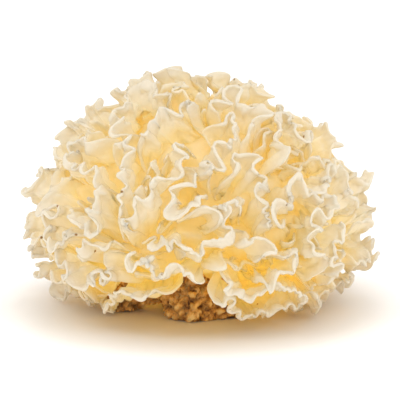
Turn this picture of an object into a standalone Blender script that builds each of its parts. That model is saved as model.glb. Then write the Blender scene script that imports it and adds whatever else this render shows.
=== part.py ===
"""Snow fungus: a head of ruffled fronds that grow from one holdfast on a crumb of wood substrate.

Every frond is a sheet that leaves the holdfast straight outwards, so fronds whose rims do not
cross cannot cross anywhere. The rims of the front and of the outline are placed by eye from the
photograph, the rims of the unseen back run in nested wavy rows, and a few more wavy rims fill the
widest hollows that are left. The holdfast is the fleshy mass in which all the fronds join.
"""

import math

import bmesh
import bpy
import numpy as np

MM = 0.001
TINY = 1e-6

# Overall size: a fresh cultivated head.
WIDTH = 140 * MM
HEART = np.array([0.0, 0.0, 21.0]) * MM
HOLDFAST_FOOT = 10 * MM
TOUCH_GAP = 0.3 * MM
FLOOR_CLEARANCE = 0.6 * MM

# How far the fronds reach from the heart, in millimetres, by elevation in degrees.
REACH_AT = ((-90, 40), (-28, 46), (-16, 55), (-5, 64), (8, 69), (30, 70), (60, 70), (90, 72))

# How far the holdfast reaches from the heart, in the same way: a dome on a cone on a short foot.
HOLDFAST_AT = (
    (-90, 22), (-35, 22), (-20, 25.7), (-8, 31.4), (5, 41.9), (20, 47), (90, 48),
)
# A frond starts where the holdfast is a little higher up, so that its thickness clears the cone.
ROOT_TILT = 1.2

# The photograph: where it was taken from, and the place of the heart in it.
VIEW_ELEVATION = math.radians(11)
VIEW_DISTANCE = 650 * MM
PHOTO_MIDDLE = (200, 200)
HEART_ROW = 250
PHOTO_SPAN = 360
PIXEL = WIDTH / PHOTO_SPAN

# The fronds as sheets.
COLUMN_STEP = 4.4 * MM
ROW_SHARES = (0.0, 0.55, 1.0)
THICKNESS = 1.8 * MM
ROW_THICKNESS = (0.6, 1.0, 0.75)
END_DROPS = (0.84, 0.95)
END_THINNING = 0.6
SCALLOP_LENGTH = 13 * MM
SCALLOP_DEPTH = 0.022
FLUTTER = 1.5 * MM
FLUTTER_TURN = 2.35
FLUTTER_START = 1.7
ROW_FLUTTER = (0.0, 0.35, 1.0)
OUTLINE_SWAY = 6 * MM
OUTLINE_SWAY_LENGTH = 27 * MM
OUTLINE_SWAY_START = 2.0
DOME_ROUNDS = 6

# The rims are pushed apart until the sheets are clear of each other everywhere.
RIM_SPACING = 6.8 * MM
SPREAD_ROUNDS = 120
SPREAD_PUSH = 0.4
SPREAD_SMOOTHING = 0.06
ANCHOR_PULL = 0.03
NEAR_NEIGHBOURS = 2
MEAN_REACH = 70 * MM

# Wavy rows around the head: a second wave and a sway make them uneven, and they calm down where
# the ring is narrow.
FEWEST_WAVES = 3
CALM_RING = 30 * MM
SECOND_WAVE_HEIGHT = 0.35
SECOND_WAVE_PACE = 0.43
ROW_SWAY = 0.04
ROW_SWAY_PACE = 5

# The back: nested wavy rows of rims.
BACK_ROWS = (-13, 0, 13, 26, 39, 52, 65, 78)
BACK_TURN = 1.9
BACK_SAMPLES = 400
BACK_WAVE_LENGTH = 27 * MM
BACK_WAVE_HEIGHT = 5.2 * MM
BACK_FRONT_CLEARANCE = 7.6 * MM
BACK_RIM_LENGTH = 118 * MM
BACK_SHORTEST_RIM = 20 * MM
BACK_FEWEST_COLUMNS = 6
SEED = 7

# The hollows: the longest wavy rims that still find room, except in front of the substrate.
FILLING_RIMS = 6
FILLING_ROWS = range(-12, 86, 7)
FILLING_PHASES = (0.0, 2.1, 4.2)
FILLING_WANDER = (1.0, 2.0)
FILLING_SAMPLES = 700
FILLING_WAVE_LENGTH = 24 * MM
FILLING_WAVE_HEIGHT = 3.5 * MM
FILLING_CLEARANCE = 7 * MM
FILLING_REACH = 0.95
OPEN_FRONT = 0.7
OPEN_BELOW = 0.05

# Rims on the outline: how far each lies behind the heart, in millimetres, and its places in the
# photograph.
OUTLINE_RIMS = {
    "left_shoulder": (4, (
        (54, 172), (54, 163), (60, 157), (61, 148), (59, 140), (63, 131), (66, 122), (74, 121),
        (83, 118), (83, 110), (90, 106), (98, 102), (106, 99), (112, 103),
    )),
    "crown_left": (-3, (
        (117, 106), (116, 92), (122, 86), (131, 80), (138, 83), (145, 76), (152, 73), (159, 78),
        (165, 71), (172, 66), (181, 70), (190, 74), (194, 82),
    )),
    "crown_right": (5, (
        (201, 82), (207, 78), (213, 75), (218, 71), (225, 76), (231, 82), (240, 82), (247, 81),
        (253, 90), (263, 88), (268, 95), (267, 104), (272, 111), (279, 118),
    )),
    "right_shoulder": (-8, (
        (297, 118), (302, 120), (306, 117), (312, 122), (322, 128), (334, 130), (337, 139),
        (334, 147), (331, 155),
    )),
    "right_rim_high": (0, (
        (335, 161), (341, 160), (347, 165), (353, 171), (359, 176), (366, 180), (372, 176),
        (371, 187), (370, 197),
    )),
    "right_rim_low": (3, (
        (373, 203), (380, 208), (376, 217), (368, 222), (362, 231), (363, 241), (371, 247),
        (379, 254), (372, 261), (365, 269), (356, 265),
    )),
    "right_skirt": (-2, (
        (351, 269), (355, 279), (349, 285), (341, 290), (332, 292), (326, 299), (317, 302),
        (309, 299),
    )),
    "left_rim_high": (-3, (
        (49, 168), (40, 167), (34, 175), (37, 184), (29, 188), (23, 193), (29, 200), (33, 208),
    )),
    "left_rim_middle": (3, (
        (31, 211), (24, 214), (22, 221), (26, 231), (33, 238), (27, 243), (29, 250), (27, 257),
    )),
    "left_skirt": (-2, (
        (29, 264), (37, 272), (46, 277), (51, 281), (53, 288), (65, 288), (69, 295), (78, 298),
    )),
}

# Rims on the front of the dome: their places in the photograph.
FRONT_RIMS = {
    "fringe_left": (
        (86, 303), (97, 307), (107, 308), (109, 299), (114, 292), (123, 296), (130, 292),
        (138, 296), (146, 293), (154, 295), (163, 293),
    ),
    "ribbon_low": (
        (121, 238), (120, 249), (123, 259), (132, 262), (141, 258), (149, 254), (155, 259),
        (155, 269), (154, 279), (162, 284), (169, 277), (176, 277), (184, 279), (190, 276),
        (197, 281), (204, 277), (214, 277),
    ),
    "fringe_right": (
        (213, 292), (217, 304), (225, 306), (233, 304), (237, 314), (246, 320), (257, 320),
        (264, 314), (274, 315), (283, 311), (292, 309), (301, 309), (308, 302), (300, 294),
        (291, 291), (281, 289), (273, 290), (264, 294), (256, 299), (247, 300), (240, 291),
        (236, 280), (228, 275), (219, 279),
    ),
    "long_ridge": (
        (192, 133), (184, 142), (177, 155), (171, 168), (161, 180), (154, 192), (147, 204),
        (137, 212), (124, 218), (121, 227), (130, 232), (139, 232),
    ),
    "hook": (
        (186, 160), (193, 165), (188, 173), (182, 181), (180, 191), (174, 201), (179, 208),
        (189, 209), (197, 204), (201, 196), (208, 190), (215, 190),
    ),
    "v_fold": (
        (153, 223), (154, 235), (160, 243), (170, 240), (179, 245), (188, 254), (199, 259),
        (209, 253), (219, 247), (228, 238), (226, 228), (223, 217), (217, 208), (220, 201),
        (230, 200), (239, 205), (246, 213), (256, 215),
    ),
    "small_arch": (
        (194, 228), (196, 218), (204, 214), (212, 219), (213, 229), (208, 238),
    ),
    "right_inner_flap": (
        (240, 221), (244, 230), (244, 239), (249, 246), (257, 249), (259, 258), (264, 262),
        (269, 255), (272, 247),
    ),
    "centre_right": (
        (236, 182), (236, 171), (239, 161), (246, 157), (253, 164), (261, 172), (268, 180),
        (271, 189), (266, 198), (266, 207), (270, 216), (268, 225), (274, 232), (283, 235),
    ),
    "right_terrace": (
        (363, 196), (354, 198), (346, 193), (345, 183), (342, 173), (333, 172), (325, 172),
        (321, 180), (314, 186), (305, 188), (296, 190), (297, 198), (290, 204), (286, 212),
        (290, 220), (299, 223), (303, 229),
    ),
    "peak": (
        (324, 138), (314, 132), (302, 130), (294, 122), (288, 115), (284, 124), (280, 134),
        (280, 144), (279, 151), (269, 156),
    ),
    "right_wave": (
        (312, 210), (318, 201), (327, 197), (334, 203), (332, 213), (323, 220), (322, 230),
        (318, 241), (317, 252), (323, 261), (323, 269), (314, 272),
    ),
    "right_outer": (
        (353, 213), (347, 222), (344, 233), (346, 244), (341, 255), (334, 263), (332, 273),
        (333, 283), (342, 281),
    ),
    "low_right_petal": (
        (253, 282), (262, 277), (272, 276), (282, 276), (291, 272), (299, 265), (301, 255),
        (294, 247), (285, 249), (278, 257),
    ),
    "left_wall": (
        (110, 154), (113, 145), (120, 141), (126, 148), (128, 160), (131, 170), (128, 181),
        (122, 190), (120, 200), (117, 209), (110, 215), (104, 220),
    ),
    "left_flap": (
        (113, 178), (109, 188), (103, 197), (98, 206), (95, 215), (89, 224), (81, 220),
        (75, 217), (72, 206), (70, 195),
    ),
    "left_petal": (
        (97, 147), (90, 142), (82, 141), (73, 145), (66, 152), (65, 161), (72, 168), (82, 166),
        (91, 167), (101, 172), (112, 170),
    ),
    "centre_petal": (
        (134, 152), (137, 142), (145, 137), (149, 129), (153, 121), (162, 118), (171, 116),
        (178, 110), (183, 102), (191, 101), (198, 106), (199, 116),
    ),
    "upper_right_petal": (
        (207, 112), (210, 101), (217, 95), (227, 93), (237, 97), (246, 102), (254, 110),
        (258, 121), (256, 133), (259, 144),
    ),
    "bib": (
        (216, 128), (220, 118), (228, 116), (236, 120), (241, 130), (240, 141), (232, 149),
        (222, 147), (212, 152), (204, 158), (204, 168), (209, 176), (217, 177), (222, 173),
    ),
    "crown_front": (
        (136, 124), (127, 127), (117, 124), (111, 116), (117, 107), (124, 98), (131, 91),
        (139, 88), (149, 91), (159, 92), (168, 87), (178, 88),
    ),
    "left_cheek": (
        (53, 178), (46, 187), (45, 198), (50, 208), (46, 218), (41, 228), (44, 239), (53, 243),
        (59, 234), (66, 226), (74, 230), (78, 241),
    ),
    "low_left_wave": (
        (110, 243), (103, 240), (95, 243), (91, 251), (84, 258), (74, 262), (65, 258),
    ),
    "low_left_ruffle": (
        (43, 257), (52, 261), (61, 267), (70, 271), (75, 280), (83, 281), (88, 272), (95, 277),
        (102, 285), (110, 281), (109, 271), (103, 264), (107, 256),
    ),
}

# Lumps of the substrate: centre and half sizes in millimetres.
MAIN_LUMP = ((4, 0, 1), (19, 25, 11))
OTHER_LUMPS = {
    "front_lump": ((-2.5, -21, 5), (10, 11, 10.5)),
    "front_right_lump": ((9, -19, 3), (8, 9, 7)),
    "arm": ((-18, -15.5, 6.5), (12, 5, 4)),
    "left_lump": ((-28, -12, 2.5), (6.5, 5.5, 5.8)),
}
LUMP_ROUGHNESS = 0.09
LUMP_DETAIL = 2
HOLDFAST_DETAIL = 3
FLOOR_BLOCK = 200 * MM

FRUIT_COLOUR = (0.86, 0.75, 0.53, 1.0)
HOLDFAST_COLOUR = (0.80, 0.62, 0.33, 1.0)
SUBSTRATE_COLOUR = (0.33, 0.17, 0.06, 1.0)

FORWARD = np.array([0.0, math.cos(VIEW_ELEVATION), -math.sin(VIEW_ELEVATION)])
UP = np.array([0.0, math.sin(VIEW_ELEVATION), math.cos(VIEW_ELEVATION)])
RIGHT = np.array([1.0, 0.0, 0.0])
HEART_LIFT = (HEART_ROW - PHOTO_MIDDLE[1]) * PIXEL / math.cos(VIEW_ELEVATION)
AIM = HEART + np.array([0.0, 0.0, HEART_LIFT])
EYE = AIM - FORWARD * VIEW_DISTANCE


def unit(vectors):
    return vectors / np.sqrt((vectors ** 2).sum(-1, keepdims=True))


def by_elevation(table, directions, tilt=0.0):
    """A distance that a table gives in millimetres by elevation, in these directions."""
    elevation = np.degrees(np.arcsin(np.clip(directions[..., 2], -1, 1)))
    at, far = np.array(table, float).T
    return np.interp(elevation + tilt, at, far) * MM


def reach(directions):
    """How far the fronds grow from the heart in these directions."""
    return by_elevation(REACH_AT, directions)


def sight(place):
    """The direction in which the eye sees a place of the photograph."""
    across = (place[0] - PHOTO_MIDDLE[0]) * PIXEL / VIEW_DISTANCE
    up = (PHOTO_MIDDLE[1] - place[1]) * PIXEL / VIEW_DISTANCE
    return unit(FORWARD + RIGHT * across + UP * up)


def on_plane(place, behind):
    """A place of the photograph on the upright plane that lies so far behind the heart."""
    ray = sight(place)
    length = ((HEART + FORWARD * behind - EYE) * FORWARD).sum() / (ray * FORWARD).sum()
    return EYE + ray * length


def on_dome(place):
    """A place of the photograph on the near side of the dome of fronds."""
    ray = sight(place)
    to_heart = HEART - EYE
    along = (to_heart * ray).sum()
    miss = (to_heart ** 2).sum() - along ** 2
    radius = MEAN_REACH
    for _ in range(DOME_ROUNDS):
        hit = EYE + ray * (along - math.sqrt(max(radius ** 2 - miss, 0)))
        radius = float(reach(unit(hit - HEART)))
    return hit


def resample(points, step):
    """Points at even steps along a line of points."""
    lengths = np.sqrt((np.diff(points, axis=0) ** 2).sum(1))
    run = np.concatenate([[0.0], np.cumsum(lengths)])
    count = max(3, int(round(run[-1] / step)) + 1)
    marks = np.linspace(0, run[-1], count)
    return np.stack([np.interp(marks, run, points[:, k]) for k in range(3)], 1)


def outline_rim(behind, places, phase):
    """A rim on the outline, which also sways towards and away from the eye."""
    flat = np.array([on_plane(place, behind) for place in places])
    steps = np.sqrt((np.diff(flat, axis=0) ** 2).sum(1))
    run = np.concatenate([[0.0], np.cumsum(steps)])
    sway = OUTLINE_SWAY * np.sin(2 * math.pi * run / OUTLINE_SWAY_LENGTH + phase)
    return np.array([on_plane(place, behind + more) for place, more in zip(places, sway)])


def front_rims():
    rims = {}
    for number, (name, (behind, places)) in enumerate(OUTLINE_RIMS.items()):
        rims[name] = outline_rim(behind * MM, places, number * OUTLINE_SWAY_START)
    for name, places in FRONT_RIMS.items():
        rims[name] = np.array([on_dome(place) for place in places])
    return {name: resample(points, COLUMN_STEP) for name, points in rims.items()}


def clear_runs(points, others, clearance):
    """The stretches of a line of points that keep clear of the other points."""
    gaps = np.sqrt(((points[:, None] - others[None]) ** 2).sum(-1)).min(1)
    runs = []
    run = []
    for point, gap in zip(points, gaps):
        if gap > clearance:
            run.append(point)
        elif run:
            runs.append(np.array(run))
            run = []
    if run:
        runs.append(np.array(run))
    return runs


def wavy_row(level, turns, wave_length, wave_height, starts):
    """A wavy row around the head at an elevation in degrees, as points on a ball."""
    elevation = math.radians(level)
    ring = MEAN_REACH * math.cos(elevation)
    waves = max(FEWEST_WAVES, round(2 * math.pi * ring / wave_length))
    height = wave_height * min(1, ring / CALM_RING)
    second = np.sin(turns * waves * SECOND_WAVE_PACE + starts[1])
    swell = np.sin(turns * waves + starts[0]) + SECOND_WAVE_HEIGHT * second
    lift = elevation + height * swell / MEAN_REACH
    sway = turns + ROW_SWAY * np.sin(turns * ROW_SWAY_PACE + starts[2])
    flat = np.cos(lift)
    line = np.stack([flat * np.sin(sway), flat * np.cos(sway), np.sin(lift)], 1)
    return resample(line * MEAN_REACH, COLUMN_STEP)


def back_rims(front):
    """Nested wavy rows over the back, cut where the front begins and into frond lengths."""
    rng = np.random.default_rng(SEED)
    others = unit(np.concatenate(list(front.values())) - HEART) * MEAN_REACH
    turns = np.linspace(-BACK_TURN, BACK_TURN, BACK_SAMPLES)
    rims = {}
    for row, level in enumerate(BACK_ROWS):
        starts = rng.uniform(0, 2 * math.pi, 3)
        points = wavy_row(level, turns, BACK_WAVE_LENGTH, BACK_WAVE_HEIGHT, starts)
        number = 0
        for run in clear_runs(points, others, BACK_FRONT_CLEARANCE):
            length = (len(run) - 1) * COLUMN_STEP
            if length < BACK_SHORTEST_RIM:
                continue
            pieces = math.ceil(length / BACK_RIM_LENGTH)
            for piece in np.array_split(run, pieces):
                if len(piece) < BACK_FEWEST_COLUMNS:
                    continue
                number += 1
                kept = unit(piece[:-1] if pieces > 1 else piece)
                rims[f"back_row_{row + 1}_{number}"] = HEART + kept * reach(kept)[:, None]
    return rims


def longest_filling(crowd):
    """The longest wavy rim that keeps clear of all the others."""
    turns = np.linspace(-math.pi, math.pi, FILLING_SAMPLES)
    longest = []
    for level in FILLING_ROWS:
        for phase in FILLING_PHASES:
            starts = (phase, *FILLING_WANDER)
            points = wavy_row(level, turns, FILLING_WAVE_LENGTH, FILLING_WAVE_HEIGHT, starts)
            for run in clear_runs(points, crowd, FILLING_CLEARANCE):
                facing = run.mean(0) / MEAN_REACH
                before_substrate = facing[1] < -OPEN_FRONT and facing[2] < OPEN_BELOW
                if len(run) > len(longest) and not before_substrate:
                    longest = run
    return unit(longest)


def filling_rims(rims):
    """A few more rims in the widest hollows."""
    crowd = np.concatenate([directions for directions, _ in rims.values()]) * MEAN_REACH
    found = {}
    for number in range(FILLING_RIMS):
        kept = longest_filling(crowd)
        crowd = np.concatenate([crowd, kept * MEAN_REACH])
        far = reach(kept)[:, None] * FILLING_REACH
        found[f"filling_{number + 1}"] = HEART + kept * far
    return found


def all_rims():
    """The directions and the reach of every rim of the head, clear of each other."""
    front = front_rims()
    rims = spread({**front, **back_rims(front)})
    places = {name: HEART + way * far[:, None] for name, (way, far) in rims.items()}
    return spread({**places, **filling_rims(rims)})


def spread(rims):
    """Push the rims apart, in direction only, so that every sheet clears its neighbours."""
    names = list(rims)
    sizes = [len(rims[name]) for name in names]
    out = np.concatenate([rims[name] for name in names]) - HEART
    radius = np.sqrt((out ** 2).sum(1))
    rim = np.repeat(np.arange(len(names)), sizes)
    place = np.concatenate([np.arange(size) for size in sizes])
    home = unit(out) * MEAN_REACH
    now = home.copy()
    joined = rim[:, None] == rim[None]
    near = joined & (abs(place[:, None] - place[None]) <= NEAR_NEIGHBOURS)
    inner = (place > 0) & (place < np.repeat(sizes, sizes) - 1)
    for _ in range(SPREAD_ROUNDS):
        away = now[:, None] - now[None]
        gap = np.sqrt((away ** 2).sum(-1))
        short = np.where(near, 0, np.clip(RIM_SPACING - gap, 0, None))
        push = (away * (short / np.maximum(gap, TINY))[..., None]).sum(1) * SPREAD_PUSH
        smooth = np.zeros_like(now)
        middle = (np.roll(now, 1, 0) + np.roll(now, -1, 0)) / 2 - now
        smooth[inner] = middle[inner] * SPREAD_SMOOTHING
        now = now + push + smooth + (home - now) * ANCHOR_PULL
        now = unit(now) * MEAN_REACH
    directions = unit(now)
    starts = np.cumsum([0] + sizes[:-1])
    return {
        name: (directions[start:start + size], radius[start:start + size])
        for name, start, size in zip(names, starts, sizes)
    }


def plain_material(name, colour):
    material = bpy.data.materials.new(name)
    material.use_nodes = True
    shader = material.node_tree.nodes["Principled BSDF"]
    shader.inputs["Base Color"].default_value = colour
    shader.inputs["Roughness"].default_value = 0.35
    return material


def frond_tips(directions, radius, phase):
    """The radius of each column's tip: scalloped, rounded at the ends and clear of the floor."""
    count = len(directions)
    turn = 2 * math.pi * np.arange(count) * COLUMN_STEP / SCALLOP_LENGTH + phase
    tips = radius * (1 + SCALLOP_DEPTH * np.sin(turn))
    for k, drop in enumerate(END_DROPS):
        tips[k] *= drop
        tips[count - 1 - k] *= drop
    falling = np.maximum(-directions[:, 2], TINY)
    return np.minimum(tips, (HEART[2] - FLOOR_CLEARANCE) / falling)


def frond(name, directions, radius, phase):
    """One sheet that is lofted from the holdfast out to its rim and then given its thickness."""
    count = len(directions)
    tips = frond_tips(directions, radius, phase)
    root = by_elevation(HOLDFAST_AT, directions, ROOT_TILT) + TOUCH_GAP
    across = unit(np.cross(np.gradient(directions, axis=0), directions))
    flutter = across * (FLUTTER * np.sin(FLUTTER_TURN * np.arange(count) + phase))[:, None]
    shape = bmesh.new()
    rows = []
    for share, swing in zip(ROW_SHARES, ROW_FLUTTER):
        line = HEART + directions * (root + (tips - root) * share)[:, None] + flutter * swing
        rows.append([shape.verts.new(point) for point in line])
    for low, high in zip(rows, rows[1:]):
        for k in range(count - 1):
            shape.faces.new((low[k], low[k + 1], high[k + 1], high[k]))
    mesh = bpy.data.meshes.new(name)
    shape.to_mesh(mesh)
    shape.free()
    mesh.materials.append(plain_material(name, FRUIT_COLOUR))
    thing = bpy.data.objects.new(name, mesh)
    group = thing.vertex_groups.new(name="thickness")
    for row, weight in enumerate(ROW_THICKNESS):
        for k in range(count):
            end = END_THINNING if k in (0, count - 1) else 1
            group.add([row * count + k], weight * end, "REPLACE")
    solid = thing.modifiers.new("thickness", "SOLIDIFY")
    solid.thickness = THICKNESS
    solid.offset = 0
    solid.vertex_group = group.name
    return thing


def ball(name, detail):
    shape = bmesh.new()
    bmesh.ops.create_icosphere(shape, subdivisions=detail, radius=1)
    mesh = bpy.data.meshes.new(name)
    shape.to_mesh(mesh)
    shape.free()
    mesh.shade_smooth()
    return bpy.data.objects.new(name, mesh)


def lump(name, sizes, rng):
    """A rough ellipsoid of substrate."""
    centre, half_sizes = (np.array(size) * MM for size in sizes)
    thing = ball(name, LUMP_DETAIL)
    for vertex in thing.data.vertices:
        grow = 1 + LUMP_ROUGHNESS * rng.uniform(-1, 1)
        vertex.co = centre + np.array(vertex.co) * half_sizes * grow
    return thing


def fleshy_mass(name, margin, foot):
    """The shape of the holdfast with a margin all around, flat at its foot."""
    thing = ball(name, HOLDFAST_DETAIL)
    for vertex in thing.data.vertices:
        direction = np.array(vertex.co)
        vertex.co = HEART + direction * (by_elevation(HOLDFAST_AT, direction) + margin)
    cut_below(thing, foot)
    return thing


def cut_below(thing, height):
    """Cut a thing off flat at a height and close the cut."""
    shape = bmesh.new()
    shape.from_mesh(thing.data)
    bmesh.ops.bisect_plane(
        shape, geom=shape.verts[:] + shape.edges[:] + shape.faces[:],
        plane_co=(0, 0, height), plane_no=(0, 0, 1), clear_inner=True,
    )
    rim = [edge for edge in shape.edges if edge.is_boundary]
    bmesh.ops.edgeloop_fill(shape, edges=rim)
    bmesh.ops.recalc_face_normals(shape, faces=shape.faces)
    shape.to_mesh(thing.data)
    shape.free()


def boolean(thing, other, operation):
    modifier = thing.modifiers.new(other.name, "BOOLEAN")
    modifier.operation = operation
    modifier.solver = "EXACT"
    modifier.object = other


def floor_block():
    """Everything below the floor, to cut the substrate off flat."""
    shape = bmesh.new()
    bmesh.ops.create_cube(shape, size=FLOOR_BLOCK)
    bmesh.ops.translate(shape, verts=shape.verts, vec=(0, 0, -FLOOR_BLOCK / 2))
    mesh = bpy.data.meshes.new("below_floor")
    shape.to_mesh(mesh)
    shape.free()
    return bpy.data.objects.new("below_floor", mesh)


def main():
    for thing in list(bpy.data.objects):
        bpy.data.objects.remove(thing)
    part = bpy.data.collections.new("snow_fungus")
    helpers = bpy.data.collections.new("helpers")
    bpy.context.scene.collection.children.link(part)
    bpy.context.scene.collection.children.link(helpers)
    rng = np.random.default_rng(SEED)

    for number, (name, (directions, radius)) in enumerate(all_rims().items()):
        part.objects.link(frond(f"frond_{name}", directions, radius, number * FLUTTER_START))

    holdfast = fleshy_mass("holdfast", 0, HOLDFAST_FOOT)
    holdfast.data.materials.append(plain_material("holdfast", HOLDFAST_COLOUR))
    part.objects.link(holdfast)

    substrate = lump("substrate", MAIN_LUMP, rng)
    substrate.data.materials.append(plain_material("substrate", SUBSTRATE_COLOUR))
    part.objects.link(substrate)
    for name, sizes in OTHER_LUMPS.items():
        other = lump(name, sizes, rng)
        helpers.objects.link(other)
        boolean(substrate, other, "UNION")
    seat = fleshy_mass("seat", 2 * TOUCH_GAP, HOLDFAST_FOOT - TOUCH_GAP)
    for other in (seat, floor_block()):
        helpers.objects.link(other)
        boolean(substrate, other, "DIFFERENCE")
    for other in helpers.objects:
        other.hide_render = True
        other.display_type = "WIRE"


main()
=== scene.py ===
"""Looks of the snow fungus: thin wet translucent fronds with crisped rims, and a crumbly substrate.

Every frond is a fine sheet in place of its plain solid. Its rim follows the same places as the
solid's, and on top of that it ruffles at several sizes, curls over at the lip and is scalloped. Low
inner folds grow in the hollows between the fronds, on the fleshy holdfast.
"""

import math

import bmesh
import bpy
import numpy as np
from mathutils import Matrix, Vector, noise as noise_field

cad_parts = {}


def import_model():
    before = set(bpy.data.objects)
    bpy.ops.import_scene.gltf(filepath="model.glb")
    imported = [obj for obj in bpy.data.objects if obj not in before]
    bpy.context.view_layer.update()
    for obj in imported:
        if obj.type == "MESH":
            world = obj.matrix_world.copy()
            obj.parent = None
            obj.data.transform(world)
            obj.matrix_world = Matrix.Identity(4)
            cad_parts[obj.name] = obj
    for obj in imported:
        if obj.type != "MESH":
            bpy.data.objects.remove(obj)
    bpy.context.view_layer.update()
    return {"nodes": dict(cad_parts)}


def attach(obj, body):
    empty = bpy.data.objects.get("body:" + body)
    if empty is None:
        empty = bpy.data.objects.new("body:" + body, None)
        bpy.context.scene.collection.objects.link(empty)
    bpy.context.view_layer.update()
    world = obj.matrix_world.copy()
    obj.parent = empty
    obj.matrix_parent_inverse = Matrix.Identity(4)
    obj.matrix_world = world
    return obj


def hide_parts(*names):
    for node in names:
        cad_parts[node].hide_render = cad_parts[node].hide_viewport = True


MM = 0.001
TINY = 1e-6

# Overall size, as in the solids.
WIDTH = 140 * MM
HEART = np.array([0.0, 0.0, 21.0]) * MM
HOLDFAST_FOOT = 10 * MM
FLOOR_CLEARANCE = 2.0 * MM

# How far the fronds reach from the heart, in millimetres, by elevation in degrees.
REACH_AT = ((-90, 40), (-28, 46), (-16, 55), (-5, 64), (8, 69), (30, 70), (60, 70), (90, 72))

# How far the holdfast reaches from the heart, in the same way.
HOLDFAST_AT = (
    (-90, 22), (-35, 22), (-20, 25.7), (-8, 31.4), (5, 41.9), (20, 47), (90, 48),
)
ROOT_DEPTH = 1.0

# The photograph: where it was taken from, and the place of the heart in it.
VIEW_ELEVATION = math.radians(11)
VIEW_DISTANCE = 650 * MM
PHOTO_MIDDLE = (200, 200)
HEART_ROW = 250
PHOTO_SPAN = 360
PHOTO_SIDE = 400
PIXEL = WIDTH / PHOTO_SPAN
SENSOR = 36.0

# The rims are placed in coarse steps, pushed apart, and then drawn finely.
COARSE_STEP = 4.4 * MM
FEWEST_COLUMNS = 3
FINE_STEP = 0.65 * MM
CURVE_PARTS = 12
RIM_SPACING = 6.8 * MM
SPREAD_ROUNDS = 120
SPREAD_PUSH = 0.4
SPREAD_SMOOTHING = 0.06
ANCHOR_PULL = 0.03
NEAR_NEIGHBOURS = 2
MEAN_REACH = 70 * MM
OUTLINE_SWAY = 6 * MM
OUTLINE_SWAY_LENGTH = 27 * MM
OUTLINE_SWAY_START = 2.0
DOME_ROUNDS = 6

# Wavy rows around the head, as in the solids.
FEWEST_WAVES = 3
CALM_RING = 30 * MM
SECOND_WAVE_HEIGHT = 0.35
SECOND_WAVE_PACE = 0.43
ROW_SWAY = 0.04
ROW_SWAY_PACE = 5

# The back: nested wavy rows of rims.
BACK_ROWS = (-13, 0, 13, 26, 39, 52, 65, 78)
BACK_TURN = 1.9
BACK_SAMPLES = 400
BACK_WAVE_LENGTH = 27 * MM
BACK_WAVE_HEIGHT = 5.2 * MM
BACK_FRONT_CLEARANCE = 7.6 * MM
BACK_RIM_LENGTH = 118 * MM
BACK_SHORTEST_RIM = 20 * MM
BACK_FEWEST_COLUMNS = 6
SEED = 7

# The hollows: the longest wavy rims that still find room, except in front of the substrate.
FILLING_RIMS = 6
FILLING_ROWS = range(-12, 86, 7)
FILLING_PHASES = (0.0, 2.1, 4.2)
FILLING_WANDER = (1.0, 2.0)
FILLING_SAMPLES = 700
FILLING_WAVE_LENGTH = 24 * MM
FILLING_WAVE_HEIGHT = 3.5 * MM
FILLING_CLEARANCE = 7 * MM
FILLING_REACH = 0.95
OPEN_FRONT = 0.7
OPEN_BELOW = 0.05

# Inner folds: short low folds in the hollows.
INNER_ROWS = range(-22, 88, 5)
INNER_SAMPLES = 500
INNER_STEP = 2 * MM
INNER_WAVE_LENGTH = 15 * MM
INNER_WAVE_HEIGHT = 1.8 * MM
INNER_CLEARANCE = 3.4 * MM
INNER_SHORTEST = 6 * MM
INNER_REACH = (0.84, 0.92)
# No inner fold grows in front of the substrate: azimuths from the front and elevations, in degrees.
OPEN_AZIMUTHS = range(-50, 31, 2)
OPEN_ELEVATIONS = range(-40, 3, 2)
INNER_SECOND_HEIGHT = 0.5
INNER_SECOND_PACE = 0.37
INNER_LONG_RUN = 6
INNER_END_DROP = 0.2
INNER_STRENGTH = 0.7
INNER_SEED = 900
INNER_PIECES = 4

# How far in from the rim the rows of a sheet lie, in millimetres.
ROWS_IN = (
    0, 0.1, 0.3, 0.6, 1.0, 1.5, 2.1, 2.8, 3.6, 4.5, 5.5, 6.6, 7.8, 9.2, 10.8, 12.6, 14.8, 17.4,
    20.5, 24.5,
)
LEAST_STRETCH = 0.55
LEAST_DEPTH = 3.0
# How fast a row that the lip has drawn in comes back to its place, in millimetres.
SETTLING = 12.0

# The lip: how far in it curls, how much, and which way, by the room beside it and by a slow wave.
LIP_LENGTH = 8.0
LIP_TURN = math.radians(80)
LIP_CURVE = 1.4
LIP_WAVE = 40.0
LEAN_WAVE = 0.8
LEAN_ROOM = 14.0
LEAN_GAIN = 1.4
LEAN_CALM = 1.5

# How near the other fronds are counted, how near a frond's own rim is not, and what is sideways.
MOST_ROOM = 20 * MM
OWN_NEAR = 6 * MM
SIDEWAYS = 0.5
CROWD_STEP = 4
# Where there is less room than this, in millimetres, the ruffles are calmer.
ROOM_NEEDED = 7.0
ROOM_SMOOTHING = 5.0
LEAST_CALM = 0.4
SUBSTRATE_CALM = 0.6

# Fronds: where their random numbers start, and the small folds between them.
FROND_SEED = 100
RANDOM_STARTS = 8
SMALL_STEP = COARSE_STEP / 2
SMALL_REACH = 0.95
SMALL_STRENGTH = 0.8

# Smooth noise is a sum of waves, each longer than the last by this share of the first.
WANDER_PARTS = 4
WANDER_GROWTH = 0.8

# Ruffles: wavelength, height, and how far in they fade, in millimetres. A quiet rim has less of the
# strong ones.
RUFFLES = ((15.0, 2.0, 22.0), (7.8, 1.6, 11.0), (4.3, 0.65, 5.0))
STRONG_RUFFLES = 2
RUFFLE_CURVE = 1.2
OVERHANG = 0.2
# How much a ruffle's pace and its height wander, and over how many of its wavelengths.
PACE_WANDER = 1.5
PACE_LENGTH = 2.6
HEIGHT_WANDER = 0.35
HEIGHT_LENGTH = 3.1
HEIGHT_PARTS = 3
# How far the rim rises and falls with each ruffle, in millimetres.
RIM_HEIGHTS = (1.0, 0.8, 0.4)

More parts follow.
